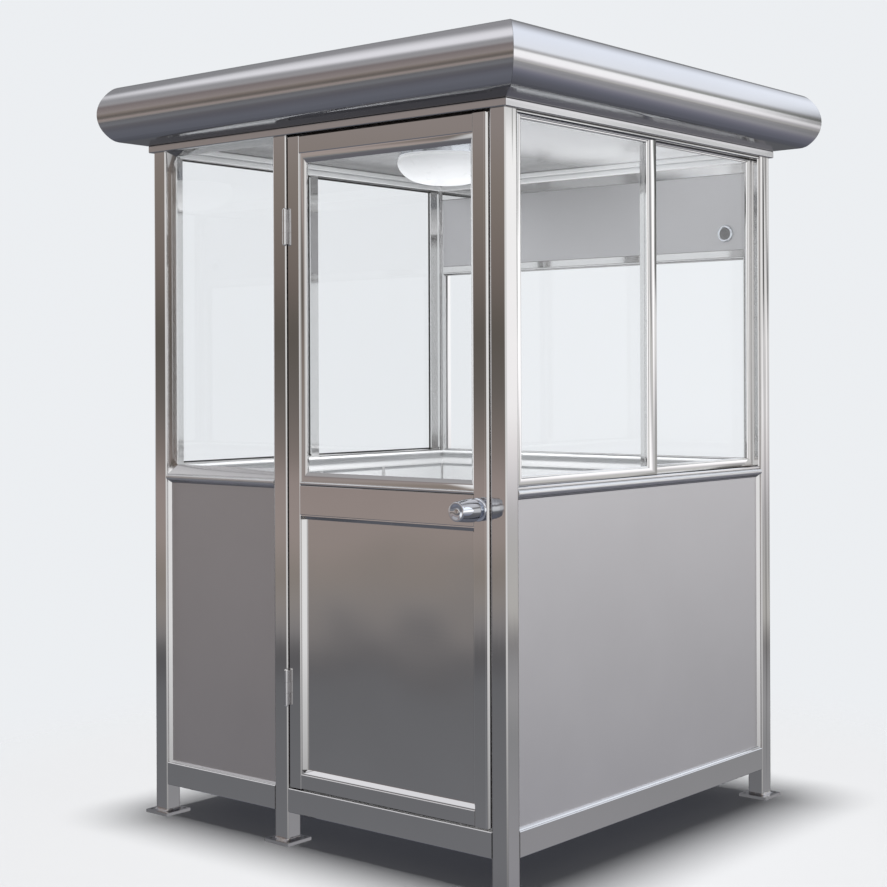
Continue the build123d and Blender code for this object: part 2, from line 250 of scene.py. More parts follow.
def liningPaint():
    # the same white paint on the linings, with painted shade that darkens them towards the floor, broken up
    # by scuffs
    mat, tree = newMaterial("liningPaint")
    scuff = noiseAt(tree, 5.0, 6.0, 6.6, (1, 1, 3))
    level = addNode(tree, "SeparateXYZ", {0: objectPlace(tree)}).outputs["Z"]
    # painted shade: the colour darkens towards the floor, mixed with scuff noise
    low = spread(tree, level, 1.05, 0.20, 0.0, 0.75)
    scuffsAndPaintedShade = times(tree, low, spread(tree, scuff, 0.2, 0.6, 0.5, 1.0))
    color = mixColor(tree, scuffsAndPaintedShade, (0.80, 0.81, 0.82, 1), (0.36, 0.36, 0.365, 1))
    rough = spread(tree, scuff, 0.3, 0.7, 0.32, 0.48)
    return finished(mat, color, rough, {"Normal": bumpOn(tree, scuff, 0.0003, strength=0.3)})


# the black rubber finish also serves as painted shade: it blackens the keyway and the strike's slot, while
# the port membranes are real rubber
rubberFinish = {
    "blackRubberAndSlotShade": {"dust": (40.0, 5.0, 6.2), "patch": (0.4, 0.8), "color": (0.03, 0.03, 0.031, 1),
                    "dusty": (0.08, 0.08, 0.083, 1), "rough": (0.42, 0.6), "bump": 0.0003},
    "greySilicone": {"dust": (30.0, 4.0, 3.7), "patch": (0.35, 0.75), "color": (0.46, 0.46, 0.465, 1),
                     "dusty": (0.32, 0.32, 0.325, 1), "rough": (0.40, 0.58), "bump": 0.0002},
}


def sealRubber(name):
    # an extruded seal, its colour and gloss changed in patches where dust has settled
    r = rubberFinish[name]
    mat, tree = newMaterial(name)
    dust = noiseAt(tree, *r["dust"])
    color = mixColor(tree, spread(tree, dust, *r["patch"]), r["color"], r["dusty"])
    rough = spread(tree, dust, 0.3, 0.7, *r["rough"])
    return finished(mat, color, rough, {"Normal": bumpOn(tree, dust, r["bump"], strength=0.3)})


def weldSteel():
    # bare weld bead, straw and blue from the heat
    mat, tree = newMaterial("weldSteel")
    heat = noiseAt(tree, 60.0, 4.0, seed=9.1)
    stops = [(0.3, (0.42, 0.36, 0.30)), (0.5, (0.55, 0.53, 0.52)), (0.7, (0.33, 0.34, 0.40))]
    rough = spread(tree, heat, 0.3, 0.7, 0.25, 0.45)
    return finished(mat, ramp(tree, heat, stops), rough, {"Metallic": 1.0})


finishes = {name: steel(name) for name in steelFinish} | {name: sealRubber(name) for name in rubberFinish}
for make in (ceilingSheet, clearGlass, lampPlastic, treadPlate, whiteLacquer, liningPaint, weldSteel):
    finishes[make.__name__] = make()
finishWords = {
    "mirrorTube": "post base_plates hinge_post door_hinge_stile door_lock_stile",
    "railTube": "base_rails threshold door_rails",
    "mirrorTrim": "door_stops window_frame sashes glazing_beads mouldings",
    "satinSheet": "lower_panel rear_upper_panel roof_deck",
    "chrome": "cable_ports light_base roses knob",
    "roofSheet": "ring_beam eaves", "doorSheet": "door_lower_panel", "satinTrim": "belt_trims",
    "liningPaint": "inner_linings", "treadPlate": "floor_panel", "ceilingSheet": "ceiling_panel",
    "clearGlass": "glass", "lampPlastic": "diffuser", "hingeSteel": "hinge",
}
nodeFinish = {word: finish for finish, words in finishWords.items() for word in words.split()}


def dressNodes():
    # the longest word of the table that a node's name holds gives its finish
    for name, obj in cad.items():
        word = max((w for w in nodeFinish if w in name), key=len)
        obj.data.materials.clear()
        obj.data.materials.append(finishes[nodeFinish[word]])


dressNodes()
print("finishes laid on the nodes")


# Surfaces: point grids from a formula, joined to a mesh

def gridFaces(rows, cols, wrapRows=False, wrapCols=False):
    # quads over a rows by cols grid of points, closed round where wrapped
    index = np.arange(rows * cols).reshape(rows, cols)
    if wrapRows:
        index = np.vstack([index, index[:1]])
    if wrapCols:
        index = np.hstack([index, index[:, :1]])
    corners = (index[:-1, :-1], index[:-1, 1:], index[1:, 1:], index[1:, :-1])
    return np.stack(corners, -1).reshape(-1, 4)


def addObject(name, data):
    obj = bpy.data.objects.new(name, data)
    bpy.context.scene.collection.objects.link(obj)
    return obj


sharpFrom = 35  # degrees between two faces past which their arris stays sharp


def makePiece(name, grids, finish="mirrorTrim", body="booth", replaced=()):
    # point grids joined in one mesh, doubled points merged, faces turned outwards, arrises kept sharp
    points, faces, start = [], [], 0
    for grid, wrapRows, wrapCols in grids:
        rows, cols = grid.shape[:2]
        points.append(grid.reshape(-1, 3))
        faces.append(gridFaces(rows, cols, wrapRows, wrapCols) + start)
        start += rows * cols
    mesh = bpy.data.meshes.new(name)
    mesh.from_pydata(np.concatenate(points).tolist(), [], np.concatenate(faces).tolist())
    shape = bmesh.new()
    shape.from_mesh(mesh)
    bmesh.ops.remove_doubles(shape, verts=shape.verts, dist=1e-6)
    bmesh.ops.dissolve_degenerate(shape, edges=shape.edges, dist=1e-7)
    bmesh.ops.recalc_face_normals(shape, faces=shape.faces)
    shape.to_mesh(mesh)
    shape.free()
    mesh.shade_smooth()
    mesh.set_sharp_from_angle(angle=math.radians(sharpFrom))
    mesh.materials.append(finishes[finish])
    obj = addObject(name, mesh)
    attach(obj, body)
    if replaced:
        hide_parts(*replaced)


wallTurns = {"front": 0, "right": 1, "rear": 2, "left": 3}
longWalls = ("right", "rear", "left")  # those without the door
wallFace = 0.75  # from the middle of the plan to the posts' outer faces


def onWall(side, across, depth, level):
    # across the wall, depth behind its outer face and level, turned a quarter for each wall
    across, depth, level = np.broadcast_arrays(across, depth, level)
    x, y = across, depth - wallFace
    for _ in range(wallTurns[side]):
        x, y = -y, x
    return np.stack([x, y, level], -1).astype(float)


def rimGrid(side, rect, profile):
    # a closed profile of (inset, depth) points carried round a rectangle on a wall, mitred at its corners
    left, right, low, high = rect
    inset, depth = np.asarray(profile, float).T[:, :, None]
    across = (left + right) / 2 + np.array([-1, 1, 1, -1]) * ((right - left) / 2 - inset)
    level = (low + high) / 2 + np.array([-1, -1, 1, 1]) * ((high - low) / 2 - inset)
    return onWall(side, across, depth, level), True, True


def frameGrid(side, outside, clear, profile):
    # a closed profile of (share, offset, depth) points carried round a frame: share runs from the outside
    # rectangle to the clear one, offset is a length along the same way; the corners are mitred
    start, end = (np.array([(left, low), (right, low), (right, high), (left, high)])
                  for left, right, low, high in (outside, clear))
    share, offset, depth = np.asarray(profile, float).T[:, :, None, None]
    spot = start + share * (end - start) + offset * np.sign(end - start)
    return onWall(side, spot[..., 0], depth[..., 0], spot[..., 1]), True, True


def barGrid(ring, shift):
    # a closed ring of points carried straight along a shift, its ends closed to their middles
    ring = np.asarray(ring, float)
    middle = np.broadcast_to(ring.mean(0), ring.shape)
    return np.stack([middle, ring, ring + shift, middle + shift], 1), True, False


def alongWall(side, section, start, end):
    # a closed section of (depth, level) points carried straight across a wall
    ring, far = (onWall(side, across, section[:, 0], section[:, 1]) for across in (start, end))
    return barGrid(ring, (far - ring)[0])


def upWall(side, section, low, high):
    # a closed section of (across, depth) points carried straight up a wall
    return barGrid(onWall(side, section[:, 0], section[:, 1], low), (0, 0, high - low))


def turnedGrid(outline, centre, axis, steps=48, closed=False):
    # (radius, along) points turned about an axis through centre; an open outline starts and ends on the axis
    axis = np.asarray(axis, float)
    side = np.roll(axis, 1)
    other = np.cross(axis, side)
    turn = np.linspace(0, 2 * np.pi, steps, endpoint=False)[None, :, None]
    radius, along = np.asarray(outline, float).T[:, :, None, None]
    return centre + along * axis + radius * (np.cos(turn) * side + np.sin(turn) * other), closed, True


def softened(points, rounds=3, share=0.25):
    # each corner cut off at a share of its two runs, again and again, with the end points kept
    line = np.asarray(points, float)
    for _ in range(rounds):
        first = (1 - share) * line[:-1] + share * line[1:]
        second = share * line[:-1] + (1 - share) * line[1:]
        middle = np.stack([first, second], 1).reshape(-1, line.shape[1])
        line = np.concatenate([line[:1], middle, line[-1:]])
    return line


def slotRing(length, width, count=24):
    # a long hole's outline: half circles of the width, pulled apart along the first axis
    turn = np.linspace(0, 2 * np.pi, count, endpoint=False)
    pull = np.where(np.cos(turn) >= 0, 1, -1) * (length - width) / 2
    return np.stack([np.cos(turn) * width / 2 + pull, np.sin(turn) * width / 2], -1)


# Lower walls: bright edge beads

panelBead = {"width": 0.009, "foot": 0.006, "panelDepth": 0.018, "crown": 0.0006, "steps": 5,
             "low": 0.175, "high": 1.120,
             "bays": {"front": (-0.690, -0.180)} | dict.fromkeys(longWalls, (-0.690, 0.690))}


def panelBeads():
    # a slope from the frame down to the sheet, crowned by a sine, round each bay
    b = panelBead
    share = np.linspace(0, 1, b["steps"])
    depth = b["panelDepth"] - b["width"] * (1 - share) - b["crown"] * np.sin(np.pi * share)
    profile = np.concatenate([[(0, 0, b["panelDepth"])], np.stack([share, 0 * share, depth], -1)])
    grids = []
    for side, (left, right) in b["bays"].items():
        clear = (left + b["width"], right - b["width"], b["low"] + b["foot"], b["high"] - b["width"])
        grids.append(frameGrid(side, (left, right, b["low"], b["high"]), clear, profile))
    makePiece("panelBeads", grids)


panelBeads()
print("edge beads round the lower walls")


# Sliding sashes: rounded frames over the solid ones

sash = {"low": 1.148, "high": 2.210, "depth": 0.018, "rail": 0.026, "head": 0.009, "glass": 0.006,
        "round": 0.0035, "crown": 0.0008, "steps": 5,
        "outer": {"track": 0.012, "span": (-0.682, 0.046), "stiles": (0.020, 0.046)},
        "inner": {"track": 0.034, "span": (0.006, 0.682), "stiles": (0.040, 0.020)}}


def sashClear(track):
    # a sash's span less its stiles and rails
    t = sash[track]
    return (t["span"][0] + t["stiles"][0], t["span"][1] - t["stiles"][1],
            sash["low"] + sash["rail"], sash["high"] - sash["head"])


def sashFrames():
    # front: quarter-round arrises with a slight crown between them; back: flat
    s = sash
    turn = np.linspace(0, np.pi / 2, s["steps"])
    run = s["round"] * (1 - np.cos(turn))
    fall = s["round"] * (1 - np.sin(turn))
    grids = []
    for track in ("outer", "inner"):
        front = s[track]["track"]
        near = np.stack([0 * run, run, front + fall], -1)
        crown = [(0.5, 0.0, front - s["crown"])]
        far = np.stack([0 * run + 1, -run, front + fall], -1)[::-1]
        back = [(1.0, 0.0, front + s["depth"]), (0.0, 0.0, front + s["depth"])]
        profile = np.concatenate([near, crown, far, back])
        outside = (*s[track]["span"], s["low"], s["high"])
        grids += [frameGrid(side, outside, sashClear(track), profile) for side in ("right", "left")]
    makePiece("sashFrames", grids, replaced=["window_sashes"])


sashFrames()
print("sliding sashes")


# Glazing strips, rubber and lips

bead = {"width": 0.008, "rise": 0.014, "steps": 7}
gasket = {"reach": 0.0014, "lip": 0.0005, "proud": 0.0022}
sashLip = {"reach": 0.0046, "lip": 0.0006, "proud": 0.0026}


def wedgePair(side, rect, faces, size, inset=0.0):
    # a wedge against both faces of a pane, thick at the frame and thin over the glass
    reach, lip = size["reach"], size["lip"]
    grids = []
    for face, away in zip(faces, (-1, 1)):
        out = face + away * size["proud"]
        profile = [(0, face), (reach, face), (reach, face + away * lip), (lip, out), (0, out)]
        grids.append(rimGrid(side, rect, [(inset + across, depth) for across, depth in profile]))
    return grids


def beadPair(side, rect, faces):
    # a quarter-round strip (a quarter ellipse over its foot) against both faces of a fixed pane
    turn = np.linspace(0, np.pi / 2, bead["steps"])
    grids = []
    for face, away in zip(faces, (-1, 1)):
        arc = np.stack([bead["width"] * np.cos(turn), face + away * bead["rise"] * np.sin(turn)], -1)
        grids.append(rimGrid(side, rect, np.concatenate([[(0, face)], arc])))
    return grids


def paneRect(node, side):
    # a pane's own box as a rectangle and two depths on its wall
    low, high = (np.array(corner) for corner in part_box(node))
    spin = {"front": (low[0], high[0]), "rear": (-high[0], -low[0])}[side]
    depths = {"front": (low[1], high[1]), "rear": (-high[1], -low[1])}[side]
    return (*spin, low[2], high[2]), tuple(depth + wallFace for depth in depths)


def paneEdges():
    # strips and rubber on both faces of the rear pane, lips over the outer faces of the sliding panes
    rect, faces = paneRect("rear_window_glass", "rear")
    strips = beadPair("rear", rect, faces)
    rubber = wedgePair("rear", rect, faces, gasket, bead["width"])
    lips = []
    for side in ("right", "left"):
        for track in ("outer", "inner"):
            face = sash[track]["track"] + (sash["depth"] - sash["glass"]) / 2
            lips += wedgePair(side, sashClear(track), (face, face + sash["glass"]), sashLip)[:1]
    makePiece("glazingStrips", strips)
    makePiece("paneGaskets", rubber, "greySilicone")
    makePiece("sashLips", lips)


paneEdges()
print("glazing strips, rubber and lips")


# Front window and door light: shaped frames over the square ones

splay = {"crown": 0.0009, "lip": 0.0045, "edge": 0.0004, "steps": 9}
nosing = {"inset": 0.009, "proud": 0.0050, "front": 0.0018, "back": 0.0122, "end": 0.002, "steps": 10}


def nodeRect(node):
    # a front-wall node's box as a rectangle and two depths
    low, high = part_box(node)
    return (low[0], high[0], low[2], high[2]), (low[1] + wallFace, high[1] + wallFace)


def slopeTo(face, outer, away, lip):
    # from the outside at depth outer to a lip over the pane's face, crowned by a sine on the side away
    share = np.linspace(0, 1, splay["steps"])
    end, foot = face + away * splay["edge"], face + away * splay["edge"] / 4
    depth = outer + share * (end - outer) + away * splay["crown"] * np.sin(np.pi * share)
    slope = np.stack([share, share * lip, depth], -1)
    return np.concatenate([slope, [(1, lip, foot), (1, 0, foot)]])


def frontSplay():
    # the face slopes from the wall's face back to the glass, the inner side is square
    outside, (front, back) = nodeRect("front_window_frame")
    clear, faces = paneRect("front_window_glass", "front")
    profile = np.concatenate([slopeTo(faces[0], front, -1, splay["lip"]), [(1, 0, back), (0, 0, back)]])
    grids = [frameGrid("front", outside, clear, profile)]
    makePiece("frontSplay", grids, "mirrorTrim", "booth", ["front_window_frame"])


def doorBeads():
    # both faces slope from the leaf to the pane
    outside, (front, back) = nodeRect("door_glazing_beads")
    clear, faces = paneRect("door_glass", "front")
    near, far = slopeTo(faces[0], front, -1, splay["lip"]), slopeTo(faces[1], back, 1, splay["edge"])
    profile = np.concatenate([near, far[::-1]])
    grids = [frameGrid("front", outside, clear, profile)]
    makePiece("doorBeads", grids, body="door", replaced=["door_glazing_beads"])


def lockNosing():
    # a quarter ellipse from the door's face round its lock edge, carried up the stile
    n = nosing
    edge, low, high = nodeRect("door_lock_stile")[0][1:]
    turn = np.linspace(0, np.pi / 2, n["steps"])
    across = edge - n["inset"] + (n["inset"] + n["proud"]) * np.sin(turn)
    depth = n["back"] - (n["back"] - n["front"]) * np.cos(turn)
    inner = [(edge - n["inset"] / 4, n["back"]), (edge - n["inset"], (n["front"] + n["back"]) / 2)]
    section = np.concatenate([np.stack([across, depth], -1), inner])
    grids = [upWall("front", section, low + n["end"], high - n["end"])]
    makePiece("lockNosing", grids, body="door")


frontSplay()
doorBeads()
lockNosing()
print("front window frame and door light")


# Door seals on the stops

doorSeal = {"width": 0.009, "proud": 0.0038, "stopDepth": 0.052, "head": 2.211, "headSpan": (-0.119, 0.689),
            "hinge": -0.1130, "lock": 0.6830, "low": 0.181, "top": 2.2035, "notch": (1.026, 1.142),
            "steps": 9}


def doorSeals():
    # a half-round bulb (an arc over its foot) carried along each stop
    s = doorSeal
    turn = np.linspace(0, np.pi, s["steps"])
    bulge = np.stack([np.cos(turn) * s["width"] / 2, s["stopDepth"] - np.sin(turn) * s["proud"]], -1)
    grids = [alongWall("front", bulge[:, ::-1] + (0, s["head"]), *s["headSpan"])]
    runs = [(s["hinge"], s["low"], s["top"]), (s["lock"], s["low"], s["notch"][0]),
            (s["lock"], s["notch"][1], s["top"])]
    grids += [upWall("front", bulge + (place, 0), low, high) for place, low, high in runs]
    makePiece("doorSeals", grids, "greySilicone")


doorSeals()
print("door seals")


# Knob, roses and latch

lock = {"x": 0.645, "level": 1.084, "front": -0.748, "back": -0.703, "reach": 0.098, "innerReach": 0.068,
        "radius": 0.034, "tip": 0.028, "neck": 0.014, "start": 0.009, "head": 0.023, "dish": 0.0045,
        "roseRadius": 0.034, "roseHole": 0.0092, "roseThick": 0.008, "keyRadius": 0.0095,
        "spindle": (0.008, 0.0226), "button": (0.018, 0.007, 0.009), "keyway": (0.0095, 0.002, 0.0003)}


def knobOutline(reach):
    # neck, flared shoulder, a body that tapers with a slight belly, a rolled rim and a hollow face
    k = lock
    neck, wide, tip, head, dish = k["neck"], k["radius"], k["tip"], k["head"], reach - k["dish"]
    line = [(0, k["start"] - 0.003), (neck, k["start"]), (neck, head - 0.006), (neck + 0.004, head),
            (wide - 0.006, head), (wide, head + 0.002), (wide, head + 0.009),
            ((wide + tip) / 2 + 0.001, (head + reach) / 2), (tip + 0.0005, reach - 0.010),
            (tip, reach - 0.001), (tip - 0.004, reach), (tip - 0.007, reach - 0.001),
            (k["keyRadius"] + 0.003, dish), (0, dish)]
    return softened(line, 3)


def knobSet():
    # turned shells with their spindles on both faces of the door, the key's cylinder, a long turn button
    # inside, and roses turned from a low domed section
    k = lock
    outside = np.array((k["x"], k["front"], k["level"]))
    inside = np.array((k["x"], k["back"], k["level"]))
    faces = ((outside, (0, -1, 0), k["reach"]), (inside, (0, 1, 0), k["innerReach"]))
    shell = [turnedGrid(knobOutline(reach), place, axis, 64) for place, axis, reach in faces]
    radius, sunk = k["spindle"]
    spindle = [(0, -sunk), (radius, -sunk), (radius, k["start"] + 0.001), (0, k["start"] + 0.001)]
    shell += [turnedGrid(spindle, place, axis) for place, axis, _ in faces]
    makePiece("knobShell", shell, "chrome", "knob", ["door_knob"])
    tip, radius = k["reach"], k["keyRadius"]
    core = softened([(0, tip - 0.008), (radius, tip - 0.008), (radius, tip - 0.0025),
                     (radius - 0.002, tip - 0.0015), (0, tip - 0.0015)], 2)
    length, width, rise = k["button"]
    button = slotRing(length, width)
    foot = inside + (0, k["innerReach"] - k["dish"] - 0.001, 0)
    ring = foot + np.stack([button[:, 0], 0 * button[:, 0], button[:, 1]], -1)
    parts = [turnedGrid(core, outside, (0, -1, 0), 40), barGrid(ring, (0, rise, 0))]
    makePiece("keyCylinder", parts, body="knob")
    # the keyway is a thin black lozenge over the cylinder's face: painted shade in place of the key slot
    length, width, rise = k["keyway"]
    keyway = slotRing(length, width)
    foot = outside - (0, tip - 0.0016, 0)
    ring = foot + np.stack([keyway[:, 1], 0 * keyway[:, 0], keyway[:, 0]], -1)
    makePiece("keyway", [barGrid(ring, (0, -rise, 0))], "blackRubberAndSlotShade", "knob")
    hole, radius, thick = k["roseHole"], k["roseRadius"], k["roseThick"]
    rose = softened([(hole, 0.0002), (radius, 0.0002), (radius, 0.003), (radius - 0.003, 0.006),
                     (radius - 0.010, thick), (hole, thick)], 2)
    rings = [turnedGrid(rose, place, axis, 64, True) for place, axis, _ in faces]
    makePiece("roseRings", rings, "chrome", "door", ["knob_roses"])


latch = {"edge": 0.679, "post": 0.690, "depth": 0.0245, "plate": (0.058, 0.024), "plateThick": 0.0012,
         "tongue": (0.016, 0.013), "throw": (0.0005, 0.0075), "strikeGrow": (0.012, 0.004),
         "strikeThick": 0.001, "mouthGrow": (0.006, 0.003), "mouth": (0.0008, 0.0004)}


def slotPlate(across, size, thick):
    # a round-ended plate at the latch's level, its thickness along the wall
    ring = slotRing(*size)
    place = onWall("front", across, latch["depth"] + ring[:, 1], lock["level"] + ring[:, 0])
    return barGrid(place, (thick, 0, 0))


def latchSet():
    # a face plate with a bevelled tongue in the door's edge, and a strike plate with its slot on the post
    t = latch
    tall, deep = t["tongue"]
    start, throw = t["throw"]
    wedge = np.array([(0, -0.5), (0.6, -0.5), (1, -0.1), (1, 0.5), (0, 0.5)])
    nose = onWall("front", t["edge"] + start + wedge[:, 0] * throw, t["depth"] + wedge[:, 1] * deep,
                  lock["level"] - tall / 2)
    parts = [slotPlate(t["edge"], t["plate"], t["plateThick"]), barGrid(nose, (0, 0, tall))]
    makePiece("latchPlate", parts, body="door")
    strike = slotPlate(t["post"], np.add(t["plate"], t["strikeGrow"]), -t["strikeThick"])
    makePiece("strikePlate", [strike])
    # the strike's slot is a thin black plate over the strike: painted shade in place of the opening
    sunk, thick = t["mouth"]
    mouth = slotPlate(t["post"] - sunk, np.add(t["tongue"], t["mouthGrow"]), -thick)
    makePiece("strikeMouth", [mouth], "blackRubberAndSlotShade")


knobSet()
latchSet()
print("knob, roses and latch")


# Hinges: pin caps and countersunk screws

hinge = {"axis": (-0.1165, -0.7575), "levels": (0.492, 1.932), "height": 0.108, "knuckle": 0.007,
         "cap": 0.0045, "leaves": {"booth": (-0.117, 1), "door": (-0.116, -1)},
         "screws": (-0.040, -0.020, 0.020, 0.040), "screwDepth": 0.022, "screwRadius": 0.0036,
         "screwRise": 0.0003}


def hingeDetails():
    # a low button dome on both ends of each knuckle, and flat screw heads with a sunk middle on the leaves
    h = hinge
    edge = h["knuckle"] - 0.0005
    dome = softened([(0, -0.001), (edge, -0.001), (edge, 0.002), (h["knuckle"] - 0.003, h["cap"]),
                     (0, h["cap"])], 2)
    grids = []
    for level in h["levels"]:
        for way in (-1, 1):
            end = np.array((*h["axis"], level + way * h["height"] / 2))
            grids.append(turnedGrid(dome, end, (0, 0, way), 32))
    makePiece("hingeCaps", grids, "hingeSteel")
    head = [(0, -0.0004), (h["screwRadius"], -0.0004), (h["screwRadius"] * 0.9, h["screwRise"]),
            (h["screwRadius"] * 0.4, h["screwRise"]), (h["screwRadius"] * 0.3, -0.0002), (0, -0.0002)]
    for body, (face, way) in h["leaves"].items():
        spots = [(face, h["screwDepth"] - wallFace, level + step)
                 for level in h["levels"] for step in h["screws"]]
        heads = [turnedGrid(head, np.array(spot), (way, 0, 0), 16) for spot in spots]
        makePiece(body + "HingeScrews", heads, body=body)


hingeDetails()
print("hinge caps and screws")


# Ceiling lamp and cable ports

lamp = {"centre": (-0.052, -0.044, 2.216), "radius": 0.166,
        "bowl": [(0.012, 0.0), (0.005, 0.001), (0.003, 0.008), (0.006, 0.010), (0.0, 0.016), (0.0, 0.034),
                 (0.014, 0.058), (0.046, 0.082), (0.090, 0.094), (0.130, 0.098)]}  # inset and drop


def lampLens():
    # a deep opal bowl: a short rolled rim, its widest belt near the top, and a flattened face
    bowl = [(lamp["radius"] - inset, drop) for inset, drop in lamp["bowl"]]
    line = [(0, 0), *bowl, (0, bowl[-1][1])]
    grids = [turnedGrid(softened(line, 3), np.array(lamp["centre"]), (0, 0, -1), 96)]
    makePiece("lampLens", grids, "lampPlastic", "booth", ["ceiling_light_diffuser"])


port = {"across": 0.604, "level": 1.960, "outer": 0.742, "inner": 0.694, "radius": 0.031, "dish": 0.020,
        "proud": 0.008}


def cablePorts():
    # a rolled flange with a rubber membrane sunk in it, on both faces of the rear panel
    p = port
    dish, rim, proud = p["dish"], p["radius"], p["proud"]
    flange = softened([(dish, 0.0002), (rim, 0.0002), (rim, 0.002), (rim - 0.003, proud - 0.001),
                       (rim - 0.006, proud), (dish + 0.002, proud - 0.001), (dish, proud - 0.004)], 3)
    rubber = softened([(0, 0.0004), (dish + 0.001, 0.0004), (dish + 0.001, 0.0055), (dish - 0.003, 0.0055),
                       (dish - 0.007, 0.0025), (0.006, 0.0025), (0.003, 0.004), (0, 0.004)], 2)
    places = ((np.array((p["across"], p["outer"], p["level"])), (0, 1, 0)),
              (np.array((p["across"], p["inner"], p["level"])), (0, -1, 0)))
    rings = [turnedGrid(flange, place, axis, 64, True) for place, axis in places]
    makePiece("portFlanges", rings, "chrome", "booth", ["cable_ports"])
    discs = [turnedGrid(rubber, place, axis, 48) for place, axis in places]
    makePiece("portMembranes", discs, "blackRubberAndSlotShade")


lampLens()
cablePorts()
print("lamp and cable ports")


# Feet: weld fillets

weld = {"posts": [(-0.72, -0.72), (0.72, -0.72), (-0.72, 0.72), (0.72, 0.72), (-0.15, -0.72)],
        "half": 0.030, "corner": 0.009, "leg": 0.006, "level": 0.010, "ripple": 0.0005, "ripples": 44,
        "ease": 0.24, "hollow": (0, 1, 0.42, 0.12, 0), "rise": (0, 0, 0.12, 0.42, 1), "steps": 168}


def footWelds():
    # a fillet round each post on its plate, hollow in section, rippled by a sine along its length; the path
    # is a square with round corners: a point on a circle of the corner's radius, pushed out to its quarter
    w = weld
    turn = np.linspace(0, 2 * np.pi, w["steps"], endpoint=False)
    ease = turn - w["ease"] * np.sin(4 * turn)
    flat = w["half"] - w["corner"]
    box = np.stack([np.cos(ease), np.sin(ease)], -1)
    square = box / np.abs(box).max(-1, keepdims=True) * w["half"]
    core = np.clip(square, -flat, flat)
    out = square - core
    length = np.linalg.norm(out, axis=-1, keepdims=True)
    out = out / np.maximum(length, 1e-9)
    path = core + out * w["corner"]
    swell = 1 + w["ripple"] / w["leg"] * np.sin(turn * w["ripples"])
    reach, rise = (np.array(w[key]) * w["leg"] for key in ("hollow", "rise"))
    grids = []
    for x, y in w["posts"]:
        side = path[None] + out[None] * (reach[:, None] * swell)[..., None]
        level = w["level"] + rise[:, None] * swell
        grids.append((np.concatenate([side + (x, y), level[..., None]], -1), True, True))
    makePiece("footWelds", grids, "weldSteel")


footWelds()
print("foot welds")


# Floor: raised lozenges of the tread plate

tread = {"level": 0.175, "half": 0.655, "pitch": 0.042, "length": 0.028, "width": 0.008, "height": 0.0016,
         "sides": 8, "shares": (1.0, 0.62, 0.0), "rises": (0.0, 1.0, 1.0)}


def floorTread():
    # lozenges at turns of plus and minus 45 degrees on a chequered lattice, each a flat-topped hump of
    # eight sides
    t = tread
    line = np.arange(-t["half"], t["half"] + 1e-9, t["pitch"])
    x, y = np.meshgrid(line, line)
    count = np.add.outer(np.arange(len(line)), np.arange(len(line)))
    lean = np.where(count % 2 == 0, 1, -1).reshape(-1, 1, 1) * np.pi / 4
    turn = np.linspace(0, 2 * np.pi, t["sides"], endpoint=False)[None, :]
    share, rise = (np.array(t[key])[:, None] for key in ("shares", "rises"))
    along = (share * np.cos(turn) * t["length"] / 2)[None]
    cross = (share * np.sin(turn) * t["width"] / 2)[None]
    centres = np.stack([x, y], -1).reshape(-1, 2)
    px = centres[:, 0, None, None] + along * np.cos(lean) - cross * np.sin(lean)
    py = centres[:, 1, None, None] + along * np.sin(lean) + cross * np.cos(lean)
    pz = np.broadcast_to(t["level"] + t["height"] * rise, px.shape)
    humps = np.stack([px, py, pz], -1)
    makePiece("floorTread", [(hump, False, True) for hump in humps], "treadPlate")


floorTread()
print("floor tread")


# Inner sills: painted boards under the windows

innerSill = {"low": 1.116, "high": 1.168, "wall": 0.0562, "board": 0.010, "nose": 0.082, "roll": 0.003,
             "step": 0.012,
             "bays": {"front": (-0.686, -0.184)} | dict.fromkeys(longWalls, (-0.686, 0.686))}


def innerSills():
    # a board with a rolled nose, carried along each bay: its section is a soft-cornered step
    s = innerSill
    wall, nose, high, foot = s["wall"], s["nose"], s["high"], s["wall"] + s["board"]
    under, roll = high - s["step"], nose - s["roll"]
    line = [(wall, s["low"]), (foot, s["low"]), (foot, under), (roll, under), (nose, high - s["step"] / 2),
            (roll, high), (wall, high)]
    section = softened(line, 2, 0.12)
    grids = [alongWall(side, section, *span) for side, span in s["bays"].items()]
    makePiece("innerSills", grids, "whiteLacquer")


innerSills()
print("inner sills")


# Inner corners and lining joints: coved and half-round strips from floor to sill

cove = {"corner": 0.694, "radius": 0.016, "low": 0.1755, "high": 1.116, "steps": 7,
        "turns": ((-1, 1), (1, 1), (-1, -1))}


def innerCoves():
    # a hollow quarter-round section, its arc centred off the corner, carried straight up
    c = cove
    turn = np.linspace(0, np.pi / 2, c["steps"])
    arc = c["radius"] * np.stack([1 - np.sin(turn), 1 - np.cos(turn)], -1)
    section = c["corner"] - np.concatenate([[(0, 0)], arc])
    grids = []
    for way in c["turns"]:
        ring = np.concatenate([section * way, np.full((len(section), 1), c["low"])], -1)
        grids.append(barGrid(ring, (0, 0, c["high"] - c["low"])))
    makePiece("innerCoves", grids, "satinTrim")


liningJoint = {"half": 0.011, "proud": 0.0045, "wall": 0.0558, "low": 0.1755, "high": 1.116, "steps": 9,
               "places": {"front": (-0.435,)} | dict.fromkeys(longWalls, (-0.343, 0.0, 0.343))}


def liningJoints():
    # a low half ellipse on the lining's face, carried from the floor to the sill
    j = liningJoint
    turn = np.linspace(0, np.pi, j["steps"])
    arc = np.stack([j["half"] * np.cos(turn), j["wall"] + j["proud"] * np.sin(turn)], -1)
    grids = [upWall(side, arc + (place, 0), j["low"], j["high"])
             for side, places in j["places"].items() for place in places]
    makePiece("liningJoints", grids, "satinTrim")


innerCoves()
liningJoints()
print("inner corners and joints")


# Inner heads: painted ribbed covers over the windows

